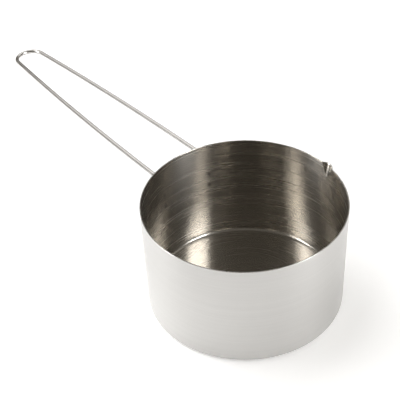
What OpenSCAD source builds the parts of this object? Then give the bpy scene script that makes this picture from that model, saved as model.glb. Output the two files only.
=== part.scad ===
// Candle melting pot: a drawn steel cup with a pressed pouring lip and a welded hairpin wire handle.
// The origin is the middle of the underside, +Z is up, and the handle points along -X.

/* [Pot] */
// Outer diameter at the rim
rim_d = 132; // [100:1:180]
// Height of the pot
pot_h = 77; // [60:1:130]
// How much smaller the outer diameter is at the bottom than at the rim
foot_taper = 3; // [0.6:0.2:8]
// Thickness of the sheet metal
sheet_t = 0.7; // [0.5:0.1:1.4]
// Outer radius of the corner between wall and bottom
corner_r = 3.5; // [2:0.5:10]

/* [Pouring lip] */
// Angle from the handle round to the lip, seen from above
lip_angle = 94; // [60:1:180]
// Diameter of the lip's round trough at the rim
lip_d = 12; // [9:0.5:18]
// Height of the lip
lip_h = 10; // [7:0.5:20]
// How far the lip stands out from the rim
lip_out = 2.2; // [1.6:0.1:5]
// Radius of the rounded point at the bottom of the lip
lip_nose_r = 1.6; // [1.5:0.1:3]

/* [Handle] */
// Diameter of the wire
wire_d = 3; // [2:0.1:5]
// Distance between the middles of the two wires where they meet the pot
wire_spacing = 38.2; // [26:0.2:50]
// Length of the handle, from the bends at the pot to the middle of the end loop
handle_l = 203.7; // [120:0.1:260]
// Diameter of the end loop, measured on the middle of the wire
loop_d = 21; // [14:0.5:25]
// Angle at which each wire closes in as it leaves the pot
closing_angle = 0.6; // [0:0.1:1.5]
// Angle at which the handle slopes down away from the pot
handle_slope = 3.2; // [0:0.1:12]
// Distance from the rim down to the middle of the wire at the pot
handle_drop = 12; // [9:0.5:20]
// Radius of each wire's bend at the pot, on the middle of the wire
bend_r = 6; // [4:0.5:9]

/* [Welds] */
// Distance from the rim down to the upper welds
weld_drop = 24.3; // [22:0.1:34]
// Distance between an upper weld and the lower weld under it
weld_pitch = 8.8; // [5:0.1:12]
// Length of wire below each lower weld
wire_tail = 5; // [3:0.5:8]
// Diameter of a spot weld
weld_d = 2.4; // [1.6:0.1:3]
// Thickness of weld metal between the wire and the wall
weld_t = 0.3; // [0.2:0.1:0.6]
// Depth of the mark that each weld leaves inside the pot
mark_depth = 0.3; // [0.1:0.05:0.4]

/* [Hidden] */
$fn = 96;
wall_facets = 720;
wire_facets = 64;
bow_facets = 2400;
cut_past = 1;
// The wire is a little thicker where it is bent, and each straight stretch runs a little way into a bend
bend_swell = 0.04;
lap = 0.3;
left = -1;
right = 1;

rim_r = rim_d / 2;
foot_r = rim_r - foot_taper / 2;
wall_lean = atan((rim_r - foot_r) / pot_h);
loop_r = loop_d / 2;
weld_heights = [pot_h - weld_drop, pot_h - weld_drop - weld_pitch];
bend_z = pot_h - handle_drop;
tail_z = weld_heights[1] - wire_tail;
wire_off_wall = wire_d / 2 + weld_t;

// Outer radius of the wall at a height
function wall_r(z) = foot_r + (rim_r - foot_r) * z / pot_h;
// Distance from the pot's axis to the middle of the wire at a height
function wire_r(z) = wall_r(z) + wire_off_wall / cos(wall_lean);
function unit(v) = v / norm(v);

// Where the upright wires stand round the wall, either side of the handle's middle line
wire_angle = asin(wire_spacing / 2 / wire_r(bend_z));
// The line of an upright wire, its direction, and the direction out of the wall under it
function on_wire(side, z) = [wire_r(z) * cos(wire_angle), side * wire_r(z) * sin(wire_angle), z];
function wire_down(side) = -[sin(wall_lean) * cos(wire_angle), side * sin(wall_lean) * sin(wire_angle), cos(wall_lean)];
function wall_out(side) = [cos(wall_lean) * cos(wire_angle), side * cos(wall_lean) * sin(wire_angle), -sin(wall_lean)];
// The direction in which a wire leaves the bend, along the handle
function wire_away(side) = [
    cos(closing_angle) * cos(handle_slope),
    -side * sin(closing_angle),
    -cos(closing_angle) * sin(handle_slope)
];

// The bend: half the angle between its two wires, and its length along each of them
bend_half = acos(wire_away(right) * wire_down(right)) / 2;
bend_reach = bend_r / tan(bend_half);

// The bow of a wire, in the plane of the handle: it starts at the bend and runs into the loop
bow_start = [bend_reach * cos(closing_angle), wire_spacing / 2 - bend_reach * sin(closing_angle)];
bow_inward = [-sin(closing_angle), -cos(closing_angle)];
start_to_loop = bow_start - [handle_l, 0];
bow_r = (loop_r * loop_r - start_to_loop * start_to_loop) / (2 * (start_to_loop * bow_inward + loop_r));
bow_centre = bow_start + bow_r * bow_inward;
bow_first = atan2(bow_start[1] - bow_centre[1], bow_start[0] - bow_centre[0]);
bow_last = atan2(-bow_centre[1], handle_l - bow_centre[0]);
lap_turn = lap / bow_r * 180 / PI;

// Puts a shape at a point, with its X and Z axes along two directions at right angles
module placed(at, x, z) {
    y = cross(z, x);
    multmatrix([
        [x[0], y[0], z[0], at[0]],
        [x[1], y[1], z[1], at[1]],
        [x[2], y[2], z[2], at[2]],
        [0, 0, 0, 1]
    ]) children();
}

// The handle's own plane: X out along the handle, Y across it, from midway between the bends
module handle_plane() {
    translate([wire_r(bend_z) * cos(wire_angle), 0, bend_z]) rotate([0, handle_slope, 0]) children();
}

// Turns what is made along +X to the side of the pot that the handle is on
module handle_side() {
    rotate([0, 0, 180]) children();
}

// Half of the cup's section, its surface set in by the thickness of the sheet or by nothing
module cup_section(set_in, top) {
    round_r = corner_r - set_in;
    round_x = foot_r + tan(wall_lean) * corner_r - corner_r / cos(wall_lean);
    polygon([
        [0, set_in],
        [round_x, set_in],
        [round_x + round_r * cos(wall_lean), corner_r - round_r * sin(wall_lean)],
        [wall_r(top) - set_in / cos(wall_lean), top],
        [0, top]
    ]);
    intersection() {
        translate([round_x, corner_r]) circle(r = round_r);
        translate([0, set_in]) square([rim_d, top]);
    }
}

module cup(set_in, top) {
    rotate_extrude() cup_section(set_in, top);
}

// The pressed lip: a cone that leaves the wall at its point and stands out from the rim. Its front line runs
// from the point to the rim, and its axis leans back from that line by half the cone's angle.
module lip_cone(set_in) {
    point_x = wall_r(pot_h - lip_h);
    front_lean = atan((rim_r + lip_out - point_x) / lip_h);
    front_l = lip_h / cos(front_lean);
    half_angle = asin((lip_d / 2 - lip_nose_r) / front_l);
    lean = front_lean - half_angle;
    past_l = front_l * cos(half_angle) + cut_past + lip_d / 2 * abs(sin(lean));
    inner = set_in / cos(half_angle);
    translate([point_x - lip_nose_r * cos(lean), 0, pot_h - lip_h + lip_nose_r * sin(lean)]) rotate([0, lean, 0])
        translate([0, 0, -lap]) cylinder(
            h = lap + past_l,
            r1 = lip_nose_r - tan(half_angle) * lap - inner,
            r2 = lip_nose_r + tan(half_angle) * past_l - inner
        );
}

module at_lip() {
    rotate([0, 0, 180 - lip_angle]) children();
}

// The small hollow that a weld leaves on the inner face of the wall
module weld_mark(side, z) {
    ball_r = (weld_d * weld_d / 4 + mark_depth * mark_depth) / (2 * mark_depth);
    out = wall_out(side);
    inner_face = on_wire(side, z) - out * (wire_off_wall + sheet_t);
    translate(inner_face - out * (ball_r - mark_depth)) sphere(r = ball_r);
}

module pot() {
    color("silver") difference() {
        union() {
            cup(0, pot_h);
            at_lip() lip_cone(0);
        }
        cup(sheet_t, pot_h + cut_past);
        at_lip() lip_cone(sheet_t);
        translate([-rim_d, -rim_d, pot_h]) cube([2 * rim_d, 2 * rim_d, lip_h]);
        handle_side() for (side = [left, right], z = weld_heights) weld_mark(side, z);
    }
}

// The upright stretch of wire that lies against the wall, from the bend to its cut end
module upright_wire(side) {
    down = wire_down(side);
    top = on_wire(side, bend_z) + down * (bend_reach - lap);
    long = (top[2] - tail_z) / cos(wall_lean);
    placed(top, wall_out(side), down) cylinder(h = long, d = wire_d, $fn = wire_facets);
}

module bent_wire(radius, turn) {
    rotate_extrude(angle = turn) translate([radius, 0]) circle(d = wire_d + bend_swell, $fn = wire_facets);
}

// The bend that turns the wire from the wall out along the handle
module wire_bend(side) {
    corner = on_wire(side, bend_z);
    away = wire_away(side);
    down = wire_down(side);
    centre = corner + unit(away + down) * bend_r / sin(bend_half);
    first = unit(corner + away * bend_reach - centre);
    last = unit(corner + down * bend_reach - centre);
    placed(centre, first, unit(cross(first, last)))
        bent_wire(bend_r, 180 - 2 * bend_half);
}

// One long wire of the handle, with its slight outward bow
module bowed_wire() {
    translate([bow_centre[0], bow_centre[1], 0]) rotate([0, 0, bow_last - lap_turn])
        rotate_extrude(angle = bow_first - bow_last + 2 * lap_turn, $fn = bow_facets)
            translate([bow_r, 0]) circle(d = wire_d, $fn = wire_facets);
}

module end_loop() {
    translate([handle_l, 0, 0]) rotate([0, 0, -bow_last]) bent_wire(loop_r, 2 * bow_last);
}

module wire_handle() {
    color("gainsboro") handle_side() {
        for (side = [left, right]) {
            upright_wire(side);
            wire_bend(side);
        }
        handle_plane() {
            bowed_wire();
            mirror([0, 1, 0]) bowed_wire();
            end_loop();
        }
    }
}

// The metal of one spot weld, between the wall and the wire
module weld(side, z) {
    out = wall_out(side);
    color("darkgray") handle_side() difference() {
        placed(on_wire(side, z) - out * (wire_off_wall + sheet_t / 2), wire_down(side), out)
            cylinder(h = wire_off_wall + sheet_t / 2, d = weld_d);
        cylinder(h = pot_h, r1 = foot_r, r2 = rim_r, $fn = wall_facets);
        upright_wire(side);
    }
}

pot();
wire_handle();
weld(left, weld_heights[0]);  // weld_left_upper
weld(left, weld_heights[1]);  // weld_left_lower
weld(right, weld_heights[0]);  // weld_right_upper
weld(right, weld_heights[1]);  // weld_right_lower
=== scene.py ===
# Candle melting pot: a drawn steel cup with a pressed pouring lip, a hairpin wire handle and four welds.
# Everything is in metres, with +Z up, the pot's underside at the origin and the handle along -X.
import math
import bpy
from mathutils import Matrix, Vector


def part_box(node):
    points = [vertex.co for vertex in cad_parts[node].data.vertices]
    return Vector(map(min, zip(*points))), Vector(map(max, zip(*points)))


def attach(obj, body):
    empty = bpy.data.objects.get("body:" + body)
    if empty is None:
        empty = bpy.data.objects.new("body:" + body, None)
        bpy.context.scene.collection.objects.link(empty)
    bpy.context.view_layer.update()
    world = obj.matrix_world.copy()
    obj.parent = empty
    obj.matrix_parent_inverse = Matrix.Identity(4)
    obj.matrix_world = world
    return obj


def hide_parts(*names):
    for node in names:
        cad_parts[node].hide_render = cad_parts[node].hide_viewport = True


bl_info = {
    "name": "Candle melting pot",
    "version": (1, 0, 0),
    "blender": (4, 5, 0),
    "location": "3D View > Sidebar > Melting Pot",
    "description": "Models a steel melting pot with a welded wire handle, its finishes and a plain stage",
    "category": "Add Mesh",
}

import bpy
from bpy.props import FloatProperty, FloatVectorProperty, IntProperty, PointerProperty
from mathutils import Quaternion, Vector

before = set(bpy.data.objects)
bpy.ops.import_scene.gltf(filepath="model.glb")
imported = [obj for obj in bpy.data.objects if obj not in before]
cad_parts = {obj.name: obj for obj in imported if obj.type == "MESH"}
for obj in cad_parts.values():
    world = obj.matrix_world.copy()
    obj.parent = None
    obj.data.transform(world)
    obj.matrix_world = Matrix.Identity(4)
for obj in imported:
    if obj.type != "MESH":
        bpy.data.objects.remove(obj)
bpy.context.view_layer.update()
POT_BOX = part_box("pot")
WELD_NODES = ("weld_left_upper", "weld_left_lower", "weld_right_upper", "weld_right_lower")

MM = 0.001
RIM_RADIUS = POT_BOX[1].x
POT_HEIGHT = POT_BOX[1].z


# ---------------------------------------------------------------- sizes and colours


class PotSizes(bpy.types.PropertyGroup):
    rim_radius: FloatProperty(
        name="Rim radius", description="Outer radius at the rim", default=RIM_RADIUS, unit="LENGTH"
    )
    height: FloatProperty(name="Height", description="Height of the pot", default=POT_HEIGHT, unit="LENGTH")
    foot_radius: FloatProperty(
        name="Foot radius",
        description="Outer radius that the wall would have at the table",
        default=64.5 * MM,
        unit="LENGTH",
    )
    sheet: FloatProperty(
        name="Sheet", description="Thickness of the sheet metal", default=0.7 * MM, unit="LENGTH"
    )
    corner_radius: FloatProperty(
        name="Corner radius",
        description="Outer radius of the corner between wall and bottom",
        default=3.5 * MM,
        unit="LENGTH",
    )
    edge_round: FloatProperty(
        name="Edge rounding", description="Rounding of the cut rim", default=0.16 * MM, unit="LENGTH"
    )


class LipSizes(bpy.types.PropertyGroup):
    angle: FloatProperty(
        name="Angle",
        description="Turn from the handle round to the lip",
        default=math.radians(94),
        unit="ROTATION",
    )
    height: FloatProperty(name="Height", description="Height of the lip", default=10 * MM, unit="LENGTH")
    out: FloatProperty(
        name="Reach", description="How far the lip stands out from the rim", default=2.2 * MM, unit="LENGTH"
    )
    trough_radius: FloatProperty(
        name="Trough radius", description="Radius of the trough at the rim", default=6 * MM, unit="LENGTH"
    )
    nose_radius: FloatProperty(
        name="Nose radius",
        description="Radius of the trough at its lower point",
        default=1.6 * MM,
        unit="LENGTH",
    )
    fold: FloatProperty(
        name="Fold",
        description="How softly the trough's sides fold into the wall",
        default=0.25 * MM,
        unit="LENGTH",
    )


class HandleSizes(bpy.types.PropertyGroup):
    wire: FloatProperty(name="Wire", description="Diameter of the wire", default=3 * MM, unit="LENGTH")
    spacing: FloatProperty(
        name="Spacing",
        description="Distance between the middles of the two wires at the pot",
        default=38.2 * MM,
        unit="LENGTH",
    )
    length: FloatProperty(
        name="Length",
        description="From the bends at the pot to the middle of the end loop",
        default=203.7 * MM,
        unit="LENGTH",
    )
    loop_radius: FloatProperty(
        name="Loop radius", description="Radius of the end loop", default=10.5 * MM, unit="LENGTH"
    )
    closing: FloatProperty(
        name="Closing angle",
        description="Angle at which each wire closes in as it leaves the pot",
        default=math.radians(0.6),
        unit="ROTATION",
    )
    slope: FloatProperty(
        name="Slope", description="How steeply the handle drops", default=math.radians(3.2), unit="ROTATION"
    )
    drop: FloatProperty(
        name="Drop", description="From the rim down to the wire at the pot", default=12 * MM, unit="LENGTH"
    )
    bend_radius: FloatProperty(
        name="Bend radius", description="Radius of the bend at the pot", default=6 * MM, unit="LENGTH"
    )
    tail: FloatProperty(name="Tail", description="Wire below the lower weld", default=5 * MM, unit="LENGTH")
    sides: IntProperty(
        name="Sides", description="Faces round the wire", default=32, min=12, max=64, subtype="UNSIGNED"
    )


class WeldSizes(bpy.types.PropertyGroup):
    drop: FloatProperty(
        name="Drop", description="From the rim down to the upper welds", default=24.3 * MM, unit="LENGTH"
    )
    pitch: FloatProperty(
        name="Pitch", description="From an upper weld to the lower one", default=8.8 * MM, unit="LENGTH"
    )
    width: FloatProperty(name="Width", description="Diameter of a weld", default=2.4 * MM, unit="LENGTH")
    gap: FloatProperty(
        name="Gap", description="Weld metal between the wire and the wall", default=0.3 * MM, unit="LENGTH"
    )
    mark_depth: FloatProperty(
        name="Mark depth", description="Depth of the mark inside the pot", default=0.3 * MM, unit="LENGTH"
    )


class Finishes(bpy.types.PropertyGroup):
    outside: FloatVectorProperty(
        name="Outside",
        description="Colour of the satin outside",
        default=(0.535, 0.528, 0.515),
        subtype="COLOR",
    )
    inside: FloatVectorProperty(
        name="Inside",
        description="Colour of the brushed inside",
        default=(0.52, 0.495, 0.455),
        subtype="COLOR",
    )
    edge: FloatVectorProperty(
        name="Edge", description="Colour of the cut rim", default=(0.78, 0.77, 0.75), subtype="COLOR"
    )
    wire: FloatVectorProperty(
        name="Wire", description="Colour of the drawn wire", default=(0.45, 0.44, 0.425), subtype="COLOR"
    )
    weld: FloatVectorProperty(
        name="Weld", description="Colour of the weld metal", default=(0.36, 0.34, 0.31), subtype="COLOR"
    )


class StageSizes(bpy.types.PropertyGroup):
    floor_width: FloatProperty(
        name="Floor width", description="Width of the floor", default=4.0, unit="LENGTH"
    )
    floor_colour: FloatVectorProperty(
        name="Floor colour",
        description="Colour of the plain floor",
        default=(0.86, 0.86, 0.86),
        subtype="COLOR",
    )
    floor_glow: FloatProperty(
        name="Floor glow",
        description="Light that comes up through the floor",
        default=0.4,
        subtype="FACTOR",
    )
    room_colour: FloatVectorProperty(
        name="Room colour",
        description="Light that comes from the room",
        default=(0.215, 0.2, 0.176),
        subtype="COLOR",
    )
    focal_length: FloatProperty(
        name="Focal length", description="Focal length of the camera", default=109.4, unit="CAMERA"
    )


class MeltingPotSettings(bpy.types.PropertyGroup):
    pot: PointerProperty(type=PotSizes)
    lip: PointerProperty(type=LipSizes)
    handle: PointerProperty(type=HandleSizes)
    weld: PointerProperty(type=WeldSizes)
    finish: PointerProperty(type=Finishes)
    stage: PointerProperty(type=StageSizes)


def settings():
    return bpy.context.scene.melting_pot


# ---------------------------------------------------------------- places worked out from the sizes


def wall_lean():
    pot = settings().pot
    return math.atan((pot.rim_radius - pot.foot_radius) / pot.height)


def wall_radius(z):
    """Outer radius of the wall at a height."""
    pot = settings().pot
    return pot.foot_radius + (pot.rim_radius - pot.foot_radius) * z / pot.height


def wire_off_wall():
    return settings().handle.wire / 2 + settings().weld.gap


def bend_height():
    return settings().pot.height - settings().handle.drop


def weld_heights():
    upper = settings().pot.height - settings().weld.drop
    return (upper, upper - settings().weld.pitch)


def upright_radius(z):
    """Distance from the pot's axis to the middle of an upright wire at a height."""
    return wall_radius(z) + wire_off_wall() / math.cos(wall_lean())


def upright_turn():
    """Turn of an upright wire round the wall from the handle's middle line."""
    return math.asin(settings().handle.spacing / 2 / upright_radius(bend_height()))


def on_upright(side, z):
    """Point on an upright wire's middle line; side is 1 for the left wire and -1 for the right one."""
    turn = math.pi - side * upright_turn()
    return Vector((upright_radius(z) * math.cos(turn), upright_radius(z) * math.sin(turn), z))


def wall_outward(side):
    """Direction straight out of the wall under an upright wire."""
    turn = math.pi - side * upright_turn()
    lean = wall_lean()
    return Vector((math.cos(lean) * math.cos(turn), math.cos(lean) * math.sin(turn), -math.sin(lean)))


def upright_down(side):
    return (on_upright(side, 0) - on_upright(side, settings().pot.height)).normalized()


def wire_away(side):
    """Direction in which a wire leaves its bend, along the handle."""
    handle = settings().handle
    flat = math.cos(handle.closing)
    across = -side * math.sin(handle.closing)
    return Vector((-flat * math.cos(handle.slope), across, -flat * math.sin(handle.slope)))


# ---------------------------------------------------------------- modelling helpers

SMOOTH_ANGLE = math.radians(32)


def deselect_all():
    if bpy.context.object and bpy.context.object.mode != "OBJECT":
        bpy.ops.object.mode_set(mode="OBJECT")
    bpy.ops.object.select_all(action="DESELECT")


def edit_all():
    """Goes into edit mode with every point of the piece selected."""
    bpy.ops.object.mode_set(mode="EDIT")
    bpy.ops.mesh.select_mode(type="VERT")
    bpy.ops.mesh.select_all(action="SELECT")


def start_point(name, place):
    """Adds a plane, draws it together into one point at a place, and stays in edit mode."""
    deselect_all()
    bpy.ops.mesh.primitive_plane_add(size=MM)
    piece = bpy.context.object
    piece.name = name
    piece.data.name = name
    edit_all()
    bpy.ops.mesh.merge(type="CENTER")
    bpy.ops.transform.translate(value=place)
    return piece


def draw_on(step):
    """Extrudes the selected points or loop by a step."""
    bpy.ops.mesh.extrude_region_move(TRANSFORM_OT_translate={"value": step})


def turn_on(steps, angle, center, axis):
    """Spins the selected points or loop about an axis by the right-hand rule; spin turns the other way."""
    bpy.ops.mesh.spin(steps=steps, angle=-angle, center=center, axis=axis)


def select_where(piece, domain, test):
    """Selects the vertices, edges or faces of a piece that pass a test, and leaves it in edit mode."""
    bpy.ops.object.mode_set(mode="EDIT")
    bpy.ops.mesh.select_mode(type=domain)
    bpy.ops.mesh.select_all(action="DESELECT")
    bpy.ops.object.mode_set(mode="OBJECT")
    mesh = piece.data
    parts = {"VERT": mesh.vertices, "EDGE": mesh.edges, "FACE": mesh.polygons}[domain]
    for part in parts:
        part.select = test(part)
    bpy.ops.object.mode_set(mode="EDIT")


def weigh(piece, name, weight):
    """Gives a piece a vertex group whose weights come from a function of the vertex."""
    group = piece.vertex_groups.new(name=name)
    for vertex in piece.data.vertices:
        amount = weight(vertex)
        if amount > 0:
            group.add([vertex.index], min(amount, 1), "REPLACE")


def apply_modifier(piece, kind, **values):
    """Adds a modifier with these values and applies it."""
    bpy.ops.object.modifier_add(type=kind)
    modifier = piece.modifiers[-1]
    for key, value in values.items():
        setattr(modifier, key, value)
    bpy.ops.object.modifier_apply(modifier=modifier.name)


def finish_piece(piece, slot, *nodes):
    """Smooths a finished piece, puts it on the frame and lets it stand for its CAD nodes."""
    bpy.ops.object.mode_set(mode="OBJECT")
    bpy.ops.object.shade_smooth_by_angle(angle=SMOOTH_ANGLE)
    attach(piece, "root")
    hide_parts(*nodes)


# ---------------------------------------------------------------- finishes


class Finish:
    """A node tree in the making: each call adds a node and returns its output."""

    def __init__(self, name):
        self.material = bpy.data.materials.new(name)
        self.material.use_nodes = True
        self.nodes = self.material.node_tree.nodes
        self.links = self.material.node_tree.links
        self.shader = self.nodes["Principled BSDF"]
        self.place = self.nodes.new("ShaderNodeTexCoord").outputs["Object"]
        self.axes = self.nodes.new("ShaderNodeSeparateXYZ")
        self.links.new(self.place, self.axes.inputs[0])

    def feed(self, socket, value):
        if isinstance(value, bpy.types.NodeSocket):
            self.links.new(value, socket)
        else:
            socket.default_value = value

    def math(self, operation, *values):
        node = self.nodes.new("ShaderNodeMath")
        node.operation = operation
        for socket, value in zip(node.inputs, values):
            self.feed(socket, value)
        return node.outputs[0]

    def vector(self, x, y, z):
        node = self.nodes.new("ShaderNodeCombineXYZ")
        for socket, value in zip(node.inputs, (x, y, z)):
            self.feed(socket, value)
        return node.outputs[0]

    def radius(self):
        """Distance from the pot's axis."""
        squares = [self.math("MULTIPLY", self.axes.outputs[i], self.axes.outputs[i]) for i in (0, 1)]
        return self.math("SQRT", self.math("ADD", *squares))

    def noise(self, vector, scale, detail, roughness=0.5):
        node = self.nodes.new("ShaderNodeTexNoise")
        node.inputs["Scale"].default_value = scale
        node.inputs["Detail"].default_value = detail
        node.inputs["Roughness"].default_value = roughness
        self.links.new(vector, node.inputs["Vector"])
        return node.outputs["Fac"]

    def spread(self, value, low, high, to_low, to_high):
        """Maps a value from one range to another, and holds it within the new one."""
        node = self.nodes.new("ShaderNodeMapRange")
        for socket, amount in zip(node.inputs, (value, low, high, to_low, to_high)):
            self.feed(socket, amount)
        return node.outputs[0]

    def shades(self, fac, *stops):
        """Colour ramp: each stop is a place and a colour."""
        node = self.nodes.new("ShaderNodeValToRGB")
        ramp = node.color_ramp
        while len(ramp.elements) < len(stops):
            ramp.elements.new(1)
        for element, (place, colour) in zip(ramp.elements, stops):
            element.position = place
            element.color = (*colour, 1)
        self.links.new(fac, node.inputs[0])
        return node.outputs[0]

    def blend(self, fac, first, second):
        """Mixes a colour output with a plain colour."""
        node = self.nodes.new("ShaderNodeMix")
        node.data_type = "RGBA"
        sockets = {socket.identifier: socket for socket in (*node.inputs, *node.outputs)}
        self.links.new(fac, sockets["Factor_Float"])
        self.links.new(first, sockets["A_Color"])
        sockets["B_Color"].default_value = (*second, 1)
        return sockets["Result_Color"]

    def bump(self, height, distance, strength):
        node = self.nodes.new("ShaderNodeBump")
        node.inputs["Strength"].default_value = strength
        node.inputs["Distance"].default_value = distance
        self.links.new(height, node.inputs["Height"])
        return node.outputs[0]

    def set(self, **values):
        """Sets the shader's own sockets, such as base_color or metallic."""
        for key, value in values.items():
            self.feed(self.shader.inputs[key.replace("_", " ").title()], value)


# Brushed lines: how much longer than wide, the scale of their patterns, and how deep the strongest are
BRUSH_STRETCH = 150
FINE_LINES = 1700
BROAD_LINES = 700
BRUSH_DEPTH = 0.035 * MM
CLOUDS = 22
# Painted shade: the pot's floor inside is darker, up to where its corner rises
PAINTED_FLOOR_SHADE = (0.06, 0.055, 0.05)
SHADE_FADE = (1 * MM, 4 * MM)
# Dark colour at the welds: partly the welds' tint, partly painted shade in the marks' dents and under the
# wire
WELD_TINT_AND_SHADE = (0.035, 0.022, 0.015)
# The scale and depth of the cut edge's shear marks, the wire's drawn lines and the welds' skin
SHEAR_MARKS, SHEAR_DEPTH = 1500, 0.02 * MM
DRAWN_LINES, DRAWN_DEPTH = 2200, 0.006 * MM
WIRE_CLOUDS = 45
WELD_SCALE, WELD_SCALE_DEPTH = 2600, 0.08 * MM
# Name of the point attribute that carries the welds' tint and painted shade
TINT_AND_SHADE_ATTRIBUTE = "weld_heat"
WIRE_RUN = "wire_run"
# A quarter turn, which draws a highlight out across the brushed lines
ACROSS_LINES = 0.25


def tint(colour, amount):
    return tuple(min(1, c * amount) for c in colour)


def brush_field(finish):
    """Lines that run round the pot: fine up the wall and across the floor, and long round the axis."""
    across = finish.math("ADD", finish.axes.outputs[2], finish.radius())
    long_x = finish.math("MULTIPLY", finish.axes.outputs[0], 1 / BRUSH_STRETCH)
    long_y = finish.math("MULTIPLY", finish.axes.outputs[1], 1 / BRUSH_STRETCH)
    return finish.vector(long_x, long_y, across)


def round_tangent(finish):
    """Direction round the pot's axis, along the brushing."""
    return finish.vector(finish.math("MULTIPLY", finish.axes.outputs[1], -1), finish.axes.outputs[0], 0)


def pot_finish(name, colour, roughness, brushing, lines, painted_floor_shade=0):
    """Satin steel brushed round the pot; lines is how strongly it shows, painted_floor_shade how dark the floor."""
    finish = Finish(name)
    field = brush_field(finish)
    fine = finish.noise(field, FINE_LINES, 2, 0.6)
    broad = finish.noise(field, BROAD_LINES, 2, 0.6)
    cloud = finish.noise(finish.place, CLOUDS, 3)
    grain = finish.math("ADD", finish.math("MULTIPLY", fine, 0.45), finish.math("MULTIPLY", broad, 0.55))
    worn = finish.math("ADD", finish.math("MULTIPLY", grain, 0.7), finish.math("MULTIPLY", cloud, 0.3))
    # Painted shade at the weld marks and under the wire, together with the welds' tint
    tint_and_shade = finish.nodes.new("ShaderNodeAttribute")
    tint_and_shade.attribute_name = TINT_AND_SHADE_ATTRIBUTE
    brushed = finish.shades(worn, (0.38, tint(colour, 1 - lines)), (0.62, tint(colour, 1 + lines)))
    # Painted shade: the floor inside is mixed towards a dark colour, fading out up the corner
    low = finish.spread(finish.axes.outputs[2], *SHADE_FADE, painted_floor_shade, 0)
    finish.set(
        base_color=finish.blend(tint_and_shade.outputs["Fac"], finish.blend(low, brushed, PAINTED_FLOOR_SHADE), WELD_TINT_AND_SHADE),
        metallic=1.0,
        roughness=finish.spread(grain, 0.38, 0.62, roughness * (1 - lines), roughness * (1 + lines)),
        anisotropic=brushing,
        anisotropic_rotation=ACROSS_LINES,
        tangent=round_tangent(finish),
        normal=finish.bump(broad, BRUSH_DEPTH * lines, 1.0),
    )
    return finish.material


def edge_finish(colour):
    """Bright cut edge of the sheet, with fine shear marks across it."""
    finish = Finish("cut_edge")
    marks = finish.noise(finish.place, SHEAR_MARKS, 2)
    finish.set(
        base_color=finish.shades(marks, (0.35, tint(colour, 0.9)), (0.65, colour)),
        metallic=1.0,
        roughness=finish.spread(marks, 0.3, 0.7, 0.24, 0.36),
        normal=finish.bump(marks, SHEAR_DEPTH, 0.2),
    )
    return finish.material


def wire_finish(colour):
    """Bright drawn wire with faint lines that run along it."""
    finish = Finish("drawn_wire")
    node = finish.nodes.new("ShaderNodeAttribute")
    node.attribute_name = WIRE_RUN
    lines = finish.noise(node.outputs["Vector"], DRAWN_LINES, 3, 0.6)
    cloud = finish.noise(finish.place, WIRE_CLOUDS, 2)
    worn = finish.math("ADD", finish.math("MULTIPLY", lines, 0.6), finish.math("MULTIPLY", cloud, 0.4))
    finish.set(
        base_color=finish.shades(worn, (0.38, tint(colour, 0.93)), (0.62, tint(colour, 1.06))),
        metallic=1.0,
        roughness=finish.spread(lines, 0.35, 0.65, 0.16, 0.26),
        normal=finish.bump(lines, DRAWN_DEPTH, 1.0),
    )
    return finish.material


def weld_finish(colour):
    """Dull weld metal with a darker, scaly skin."""
    finish = Finish("weld_metal")
    scale = finish.noise(finish.place, WELD_SCALE, 3)
    scorched = (colour[0] * 1.3, colour[1] * 1.1, colour[2] * 0.9)
    finish.set(
        base_color=finish.shades(scale, (0.3, tint(colour, 0.55)), (0.55, colour), (0.75, scorched)),
        metallic=1.0,
        roughness=finish.spread(scale, 0.3, 0.7, 0.35, 0.6),
        normal=finish.bump(scale, WELD_SCALE_DEPTH, 0.5),
    )
    return finish.material


# ---------------------------------------------------------------- the pot

POT_COLUMN = math.radians(1.25)
LIP_COLUMN = math.radians(0.3)
MARK_COLUMN = math.radians(0.22)
LIP_SPAN = math.radians(7.5)
LIP_SEARCH = 1.5
MARK_SPAN = math.radians(1.6)
WALL_ROW = 3 * MM
LIP_ROW = 0.7 * MM
MARK_ROW = 0.26 * MM
MARK_REACH = 1.8 * MM
FLOOR_RINGS = 10
# Reach and fall-off of the welds' tint and painted shade
TINT_AND_SHADE_REACH = 1.7 * MM
TINT_AND_SHADE_FALL = 0.4
MARK_ROUNDNESS = 1.2
CORNER_STEPS = 8
RIM_REACH = 0.3 * MM


def corner_middle():
    """Distance from the axis to the middle of the corner's rounding."""
    pot = settings().pot
    lean = wall_lean()
    return pot.foot_radius + math.tan(lean) * pot.corner_radius - pot.corner_radius / math.cos(lean)


def wall_rows(start):
    """Heights of the rows up the wall, closer together at the welds and the lip."""
    top = settings().pot.height
    fine = [(z - MARK_REACH, z + MARK_REACH, MARK_ROW) for z in sorted(weld_heights())]
    fine.append((top - settings().lip.height - LIP_ROW, top, LIP_ROW))
    rows = []
    z = start
    for low, high, step in fine:
        coarse = max(1, round((low - z) / WALL_ROW))
        rows += [z + (low - z) * (i + 1) / coarse for i in range(coarse)]
        count = round((high - low) / step)
        rows += [low + (high - low) * (i + 1) / count for i in range(count)]
        z = high
    return rows


def lathe_stretches():
    """Turns round the pot from the middle of the lip, each with its number of columns."""
    lip_to_handle = settings().lip.angle
    marks = [lip_to_handle - upright_turn(), lip_to_handle + upright_turn()]
    stops = [(LIP_SPAN, LIP_COLUMN)]
    for mark in marks:
        stops += [(mark - MARK_SPAN, POT_COLUMN), (mark + MARK_SPAN, MARK_COLUMN)]
    stops += [(2 * math.pi - LIP_SPAN, POT_COLUMN), (2 * math.pi, LIP_COLUMN)]
    done = 0
    stretches = []
    for stop, column in stops:
        stretches.append((stop - done, round((stop - done) / column)))
        done = stop
    return stretches


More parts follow.
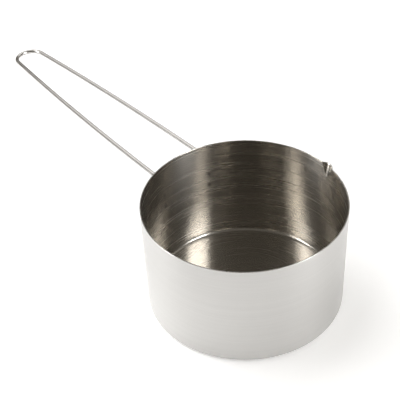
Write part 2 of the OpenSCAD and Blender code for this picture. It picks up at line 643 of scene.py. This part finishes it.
def lip_push():
    """Gives a function of the vertex: how far the lip's cone pushes a point of the wall out, along +X."""
    pot, lip = settings().pot, settings().lip
    foot = pot.height - lip.height
    point = wall_radius(foot)
    front_lean = math.atan((pot.rim_radius + lip.out - point) / lip.height)
    half_angle = math.asin((lip.trough_radius - lip.nose_radius) * math.cos(front_lean) / lip.height)
    lean = front_lean - half_angle
    flare = math.tan(half_angle)
    start_x = point - lip.nose_radius * math.cos(lean)
    start_z = foot + lip.nose_radius * math.sin(lean)

    def push(vertex):
        x, y, z = vertex.co
        if x < 0 or z < foot - lip.nose_radius or abs(y) > lip.trough_radius * LIP_SEARCH:
            return 0
        rise = z - start_z
        along = lip.nose_radius + flare * math.cos(lean) * rise
        a = math.cos(lean) ** 2 - (flare * math.sin(lean)) ** 2
        b = -math.cos(lean) * math.sin(lean) * rise - flare * math.sin(lean) * along
        c = (math.sin(lean) * rise) ** 2 + y * y - along * along
        inside = b * b - a * c
        if inside < 0 or along < 0:
            return 0
        proud = start_x + (math.sqrt(inside) - b) / a - x
        return (proud + math.sqrt(proud * proud + lip.fold * lip.fold)) / 2

    return push


def mark_push():
    """Gives a function of the vertex: the share of their full depth that the weld marks dent it."""
    half = settings().weld.width / 2
    inset = wire_off_wall() + settings().pot.sheet
    marks = [
        (on_upright(side, z) - wall_outward(side) * inset, wall_outward(side))
        for side in (1, -1)
        for z in weld_heights()
    ]

    def push(vertex):
        for middle, outward in marks:
            away = (vertex.co - middle).length
            if away < half and vertex.normal.dot(outward) < 0:
                return (1 - (away / half) ** 2) ** MARK_ROUNDNESS
        return 0

    return push


def mark_tint_and_shade(piece):
    """Marks a dark spot at each weld, inside the pot and under the wire: partly the tint that welding
    leaves in the metal, partly painted shade in the marks' dents and under the wire.
    """
    tint_and_shade = piece.data.attributes.new(name=TINT_AND_SHADE_ATTRIBUTE, type="FLOAT", domain="POINT")
    spots = [
        on_upright(side, z) - wall_outward(side) * wire_off_wall()
        for side in (1, -1)
        for z in weld_heights()
    ]
    for vertex in piece.data.vertices:
        if vertex.co.x < 0:
            away = min((vertex.co - spot).length for spot in spots)
            tint_and_shade.data[vertex.index].value = max(0, 1 - away / TINT_AND_SHADE_REACH) ** TINT_AND_SHADE_FALL


class MELTINGPOT_OT_pot(bpy.types.Operator):
    """Turn the cup on a lathe from its half section, press the pouring lip and dent the weld marks"""

    bl_idname = "melting_pot.pot"
    bl_label = "Pot"

    def execute(self, context):
        pot, lip, finish = settings().pot, settings().lip, settings().finish
        piece = start_point("pot_shell", (0, 0, 0))
        for _ in range(FLOOR_RINGS):
            draw_on((corner_middle() / FLOOR_RINGS, 0, 0))
        corner = (corner_middle(), 0, pot.corner_radius)
        turn_on(CORNER_STEPS, -(math.pi / 2 - wall_lean()), corner, (0, 1, 0))
        height = pot.corner_radius * (1 - math.sin(wall_lean()))
        for row in wall_rows(height):
            draw_on((wall_radius(row) - wall_radius(height), 0, row - height))
            height = row
        bpy.ops.mesh.select_all(action="SELECT")
        for angle, columns in lathe_stretches():
            turn_on(columns, angle, (0, 0, 0), (0, 0, 1))
        bpy.ops.mesh.select_all(action="SELECT")
        bpy.ops.mesh.remove_doubles(threshold=0.01 * MM)
        bpy.ops.mesh.normals_make_consistent(inside=False)
        bpy.ops.object.mode_set(mode="OBJECT")

        full_push = 2 * lip.out
        push = lip_push()
        weigh(piece, "lip", lambda vertex: push(vertex) / full_push)
        apply_modifier(
            piece, "DISPLACE", vertex_group="lip", direction="X", mid_level=0, strength=full_push
        )
        for material in (
            pot_finish("satin_outside", finish.outside, 0.33, 0.5, 0.03),
            pot_finish("brushed_inside", finish.inside, 0.25, 0.8, 0.11, 0.36),
            edge_finish(finish.edge),
        ):
            piece.data.materials.append(material)
        apply_modifier(
            piece,
            "SOLIDIFY",
            thickness=pot.sheet,
            offset=-1,
            use_even_offset=True,
            use_quality_normals=True,
            material_offset=1,
            material_offset_rim=2,
        )
        select_where(piece, "VERT", lambda vertex: vertex.co.z > pot.height - RIM_REACH)
        bpy.ops.transform.resize(value=(1, 1, 0), center_override=(0, 0, pot.height))
        bpy.ops.mesh.select_all(action="SELECT")
        bpy.ops.transform.rotate(
            value=-(math.pi - lip.angle), orient_axis="Z", center_override=(0, 0, 0)
        )
        bpy.ops.object.mode_set(mode="OBJECT")
        weigh(piece, "marks", mark_push())
        apply_modifier(
            piece,
            "DISPLACE",
            vertex_group="marks",
            direction="NORMAL",
            mid_level=0,
            strength=-settings().weld.mark_depth,
        )
        piece.vertex_groups.clear()
        mark_tint_and_shade(piece)
        rise = [vertex.co.z for vertex in piece.data.vertices]
        rim = pot.height - RIM_REACH
        select_where(piece, "EDGE", lambda edge: min(rise[i] for i in edge.vertices) > rim)
        bpy.ops.mesh.region_to_loop()
        bpy.ops.mesh.bevel(offset=pot.edge_round, segments=3, affect="EDGES")
        finish_piece(piece, "pot_steel", "pot")
        return {"FINISHED"}


# ---------------------------------------------------------------- the handle

WIRE_ROW = 2 * MM
BEND_STEPS = 12
BOW_STEPS = 28
LOOP_STEPS = 36
TAIL_ROUND = 0.35 * MM
# The lines on the wire are this much shorter in the pattern than on the wire, so they run along it
WIRE_LINE_SHARE = 0.03


def handle_places():
    """Middles, angles and axes of the wire's bends and bows, from the plane of the handle."""
    handle = settings().handle
    side = 1
    corner = on_upright(side, bend_height())
    away, down = wire_away(side), upright_down(side)
    half = away.angle(down) / 2
    reach = handle.bend_radius / math.tan(half)
    along = Vector((-math.cos(handle.slope), 0, -math.sin(handle.slope)))
    across = Vector((0, 1, 0))
    origin = Vector((corner.x, 0, corner.z))
    closing = Vector((math.cos(handle.closing), -math.sin(handle.closing)))
    start = Vector((0, handle.spacing / 2)) + reach * closing
    inward = Vector((-math.sin(handle.closing), -math.cos(handle.closing)))
    loop_to_start = start - Vector((handle.length, 0))
    bow_radius = (handle.loop_radius**2 - loop_to_start.length_squared) / (
        2 * (loop_to_start.dot(inward) + handle.loop_radius)
    )
    bow_middle = start + bow_radius * inward
    first = math.atan2(start.y - bow_middle.y, start.x - bow_middle.x)
    last = math.atan2(-bow_middle.y, handle.length - bow_middle.x)
    return {
        "reach": reach,
        "bend_turn": math.pi - 2 * half,
        "bend_middle": corner + (away + down).normalized() * handle.bend_radius / math.sin(half),
        "bend_axis": away.cross(down).normalized(),
        "bow_middle": origin + along * bow_middle.x + across * bow_middle.y,
        "bow_turn": first - last,
        "loop_middle": origin + along * handle.length,
        "loop_turn": 2 * last,
        "plane_up": across.cross(along).normalized(),
        "tail": min(weld_heights()) - handle.tail,
    }


def mirrored(vector):
    return Vector((vector.x, -vector.y, vector.z))


def lay_wire_run(piece, sides):
    """Marks each point with how far along the wire it lies and its place round it, for the drawn lines."""
    mesh = piece.data
    near = [[] for _ in mesh.vertices]
    for edge in mesh.edges:
        first, second = edge.vertices
        near[first].append(second)
        near[second].append(first)
    run = mesh.attributes.new(name=WIRE_RUN, type="FLOAT_VECTOR", domain="POINT")
    radius = settings().handle.wire / 2
    ring = list(range(sides))
    seen = set()
    along = 0
    while ring:
        seen.update(ring)
        for place, index in enumerate(ring):
            turn = 2 * math.pi * place / sides
            across = (radius * math.cos(turn), radius * math.sin(turn))
            run.data[index].vector = (along * WIRE_LINE_SHARE, *across)
        onward = [index for here in ring for index in near[here] if index not in seen]
        if onward:
            along += (mesh.vertices[onward[0]].co - mesh.vertices[ring[0]].co).length
        ring = onward


class MELTINGPOT_OT_handle(bpy.types.Operator):
    """Run one wire up the wall, round its bend, along the handle, round the end loop and back"""

    bl_idname = "melting_pot.handle"
    bl_label = "Wire handle"

    def execute(self, context):
        handle = settings().handle
        places = handle_places()
        left, right = 1, -1
        tail = on_upright(left, places["tail"])
        bend_end = on_upright(left, bend_height()) + upright_down(left) * places["reach"]
        climb = bend_end - tail
        rows = round(climb.length / WIRE_ROW)
        deselect_all()
        bpy.ops.mesh.primitive_circle_add(
            vertices=handle.sides,
            radius=handle.wire / 2,
            fill_type="NOTHING",
            location=tail,
            rotation=climb.to_track_quat("Z", "Y").to_euler(),
        )
        piece = bpy.context.object
        piece.name = "hairpin_wire"
        piece.data.name = "hairpin_wire"
        bpy.ops.object.transform_apply(location=True, rotation=True)
        edit_all()
        for _ in range(rows):
            draw_on(climb / rows)
        up = places["plane_up"]
        turn_on(BEND_STEPS, places["bend_turn"], places["bend_middle"], places["bend_axis"])
        turn_on(BOW_STEPS, places["bow_turn"], places["bow_middle"], up)
        turn_on(LOOP_STEPS, places["loop_turn"], places["loop_middle"], up)
        turn_on(BOW_STEPS, places["bow_turn"], mirrored(places["bow_middle"]), up)
        turn_on(
            BEND_STEPS, places["bend_turn"], mirrored(places["bend_middle"]), mirrored(places["bend_axis"])
        )
        for _ in range(rows):
            draw_on(mirrored(-climb / rows))
        bpy.ops.object.mode_set(mode="OBJECT")
        lay_wire_run(piece, handle.sides)
        bpy.ops.object.mode_set(mode="EDIT")
        bpy.ops.mesh.select_all(action="SELECT")
        bpy.ops.mesh.fill_holes(sides=0)
        bpy.ops.mesh.select_all(action="SELECT")
        bpy.ops.mesh.normals_make_consistent(inside=False)
        select_where(piece, "FACE", lambda face: len(face.vertices) == handle.sides)
        bpy.ops.mesh.bevel(offset=TAIL_ROUND, segments=3, affect="EDGES")
        piece.data.materials.append(wire_finish(settings().finish.wire))
        finish_piece(piece, "wire_steel", "wire_handle")
        return {"FINISHED"}


# ---------------------------------------------------------------- the welds

WELD_SIDES = 32
WELD_INSIDE = 0.1 * MM
# Each ring of a bead: its radius as a share of the weld's, and its height off the wall in millimetres
WELD_RINGS = (
    (1.34, 0.0),
    (1.36, 0.16),
    (1.28, 0.34),
    (1.12, 0.52),
    (0.92, 0.68),
    (0.66, 0.8),
    (0.34, 0.88),
)
WELD_STRETCH = 1.12
WELD_ROUGH = 0.05 * MM


class MELTINGPOT_OT_welds(bpy.types.Operator):
    """Squeeze a bead of weld metal out between the wire and the wall at each of the four welds"""

    bl_idname = "melting_pot.welds"
    bl_label = "Spot welds"

    def execute(self, context):
        material = weld_finish(settings().finish.weld)
        radius = settings().weld.width / 2
        places = [(side, z) for side in (1, -1) for z in weld_heights()]
        for node, (side, z) in zip(WELD_NODES, places):
            outward = wall_outward(side)
            foot = on_upright(side, z) - outward * (wire_off_wall() + WELD_INSIDE)
            deselect_all()
            bpy.ops.mesh.primitive_circle_add(
                vertices=WELD_SIDES,
                radius=radius * WELD_RINGS[0][0],
                location=foot,
                rotation=outward.to_track_quat("Z", "Y").to_euler(),
            )
            piece = bpy.context.object
            piece.name = node.replace("weld", "bead")
            piece.data.name = piece.name
            bpy.ops.object.transform_apply(location=True, rotation=True)
            edit_all()
            size, height = WELD_RINGS[0][0], -WELD_INSIDE
            for share, rise in WELD_RINGS:
                draw_on(outward * (rise * MM - height))
                height = rise * MM
                middle = foot + outward * (height + WELD_INSIDE)
                bpy.ops.transform.resize(value=[share / size] * 3, center_override=middle)
                size = share
            draw_on(outward * WELD_INSIDE)
            bpy.ops.mesh.merge(type="COLLAPSE")
            bpy.ops.mesh.select_all(action="SELECT")
            bpy.ops.mesh.fill_holes(sides=0)
            bpy.ops.mesh.select_all(action="SELECT")
            bpy.ops.mesh.normals_make_consistent(inside=False)
            bpy.ops.transform.resize(value=(1, 1, WELD_STRETCH), center_override=foot)
            seed = round(z / MM) + side
            bpy.ops.transform.vertex_random(offset=WELD_ROUGH, uniform=0, normal=1, seed=seed)
            piece.data.materials.append(material)
            finish_piece(piece, "weld_steel", node)
        return {"FINISHED"}


# ---------------------------------------------------------------- the stage


# Each softbox: azimuth and elevation in degrees, distance, width and height in metres, power in watts,
# lean in degrees, and the only piece that it lights, where it lights only one
SOFTBOXES = {
    "overhead_softbox": (-156, 61, 1.8, 1.9, 1.5, 36, 0, None),
    "left_softbox": (-122, 25, 1.2, 0.32, 1.1, 12.5, -6, None),
    "low_left_softbox": (-122, 9, 1.2, 0.34, 0.28, 7, 0, "pot_shell"),
    "right_softbox": (24, 24, 1.2, 0.46, 0.9, 25, 4, None),
    "side_softbox": (-160, 7, 1.3, 0.8, 0.26, 3, 0, "pot_shell"),
    "handle_softbox": (160, 46, 0.9, 1.5, 0.6, 4.8, 0, "hairpin_wire"),
}
CAMERA_PLACE = (0.4688, -0.3661, 0.5577)
CAMERA_TURN = (51.18, 1.938, 53.124)


def add_softbox(name, azimuth, elevation, distance, width, height, power, lean, piece):
    """A soft light that faces the pot; lean tips its top over, counterclockwise as seen from behind it."""
    azimuth, elevation = math.radians(azimuth), math.radians(elevation)
    target = Vector((0, 0, POT_HEIGHT / 2))
    level = math.cos(elevation)
    outward = Vector((level * math.cos(azimuth), level * math.sin(azimuth), math.sin(elevation)))
    facing = outward.to_track_quat("Z", "Y") @ Quaternion((0, 0, 1), math.radians(lean))
    bpy.ops.object.light_add(type="AREA", location=target + distance * outward, rotation=facing.to_euler())
    light = bpy.context.object
    light.name = name
    light.data.shape = "RECTANGLE"
    light.data.size = width
    light.data.size_y = height
    light.data.energy = power
    light.visible_diffuse = False
    if piece:
        lit = bpy.data.collections.new(name)
        lit.objects.link(bpy.data.objects[piece])
        light.light_linking.receiver_collection = lit
    return light


def floor_finish(colour, glow):
    """Pale board, lit a little from below so that it stays even."""
    finish = Finish("plain_floor")
    haze = finish.noise(finish.place, 3, 2)
    finish.set(
        base_color=finish.shades(haze, (0.3, tint(colour, 0.99)), (0.7, colour)),
        roughness=0.9,
        emission_color=(1, 1, 1, 1),
        emission_strength=glow,
    )
    return finish.material


class MELTINGPOT_OT_stage(bpy.types.Operator):
    """Lay the plain pale floor, hang the soft lights and place the camera"""

    bl_idname = "melting_pot.stage"
    bl_label = "Stage"

    def execute(self, context):
        stage = settings().stage
        deselect_all()
        bpy.ops.mesh.primitive_plane_add(size=stage.floor_width)
        floor = bpy.context.object
        floor.name = "floor"
        floor.data.materials.append(floor_finish(stage.floor_colour, stage.floor_glow))
        for name, plan in SOFTBOXES.items():
            add_softbox(name, *plan)
        overhead = bpy.data.objects["overhead_softbox"]
        overhead.visible_diffuse = True
        overhead.visible_glossy = False

        world = bpy.data.worlds.new("room")
        world.use_nodes = True
        world.node_tree.nodes["Background"].inputs["Color"].default_value = (*stage.room_colour, 1)
        context.scene.world = world
        context.scene.view_settings.view_transform = "Standard"

        bpy.ops.object.camera_add(
            location=CAMERA_PLACE, rotation=[math.radians(angle) for angle in CAMERA_TURN]
        )
        camera = bpy.context.object
        camera.data.lens = stage.focal_length
        context.scene.camera = camera
        return {"FINISHED"}


# ---------------------------------------------------------------- the add-on


class MELTINGPOT_PT_sidebar(bpy.types.Panel):
    """Lists the pieces to model and the sizes and colours that they take"""

    bl_idname = "MELTINGPOT_PT_sidebar"
    bl_label = "Candle melting pot"
    bl_space_type = "VIEW_3D"
    bl_region_type = "UI"
    bl_category = "Melting Pot"

    def draw(self, context):
        for operator in OPERATORS:
            self.layout.operator(operator.bl_idname)
        for group in ("pot", "lip", "handle", "weld", "finish", "stage"):
            box = self.layout.box()
            box.label(text=group.title())
            values = getattr(settings(), group)
            for key in values.__annotations__:
                box.prop(values, key)


OPERATORS = (MELTINGPOT_OT_pot, MELTINGPOT_OT_handle, MELTINGPOT_OT_welds, MELTINGPOT_OT_stage)
GROUPS = (PotSizes, LipSizes, HandleSizes, WeldSizes, Finishes, StageSizes, MeltingPotSettings)
CLASSES = (*GROUPS, *OPERATORS, MELTINGPOT_PT_sidebar)


def register():
    for cls in CLASSES:
        bpy.utils.register_class(cls)
    bpy.types.Scene.melting_pot = PointerProperty(type=MeltingPotSettings)


def unregister():
    del bpy.types.Scene.melting_pot
    for cls in reversed(CLASSES):
        bpy.utils.unregister_class(cls)


def main():
    register()
    bpy.ops.melting_pot.pot()
    bpy.ops.melting_pot.handle()
    bpy.ops.melting_pot.welds()
    bpy.ops.melting_pot.stage()


if __name__ == "__main__":
    main()
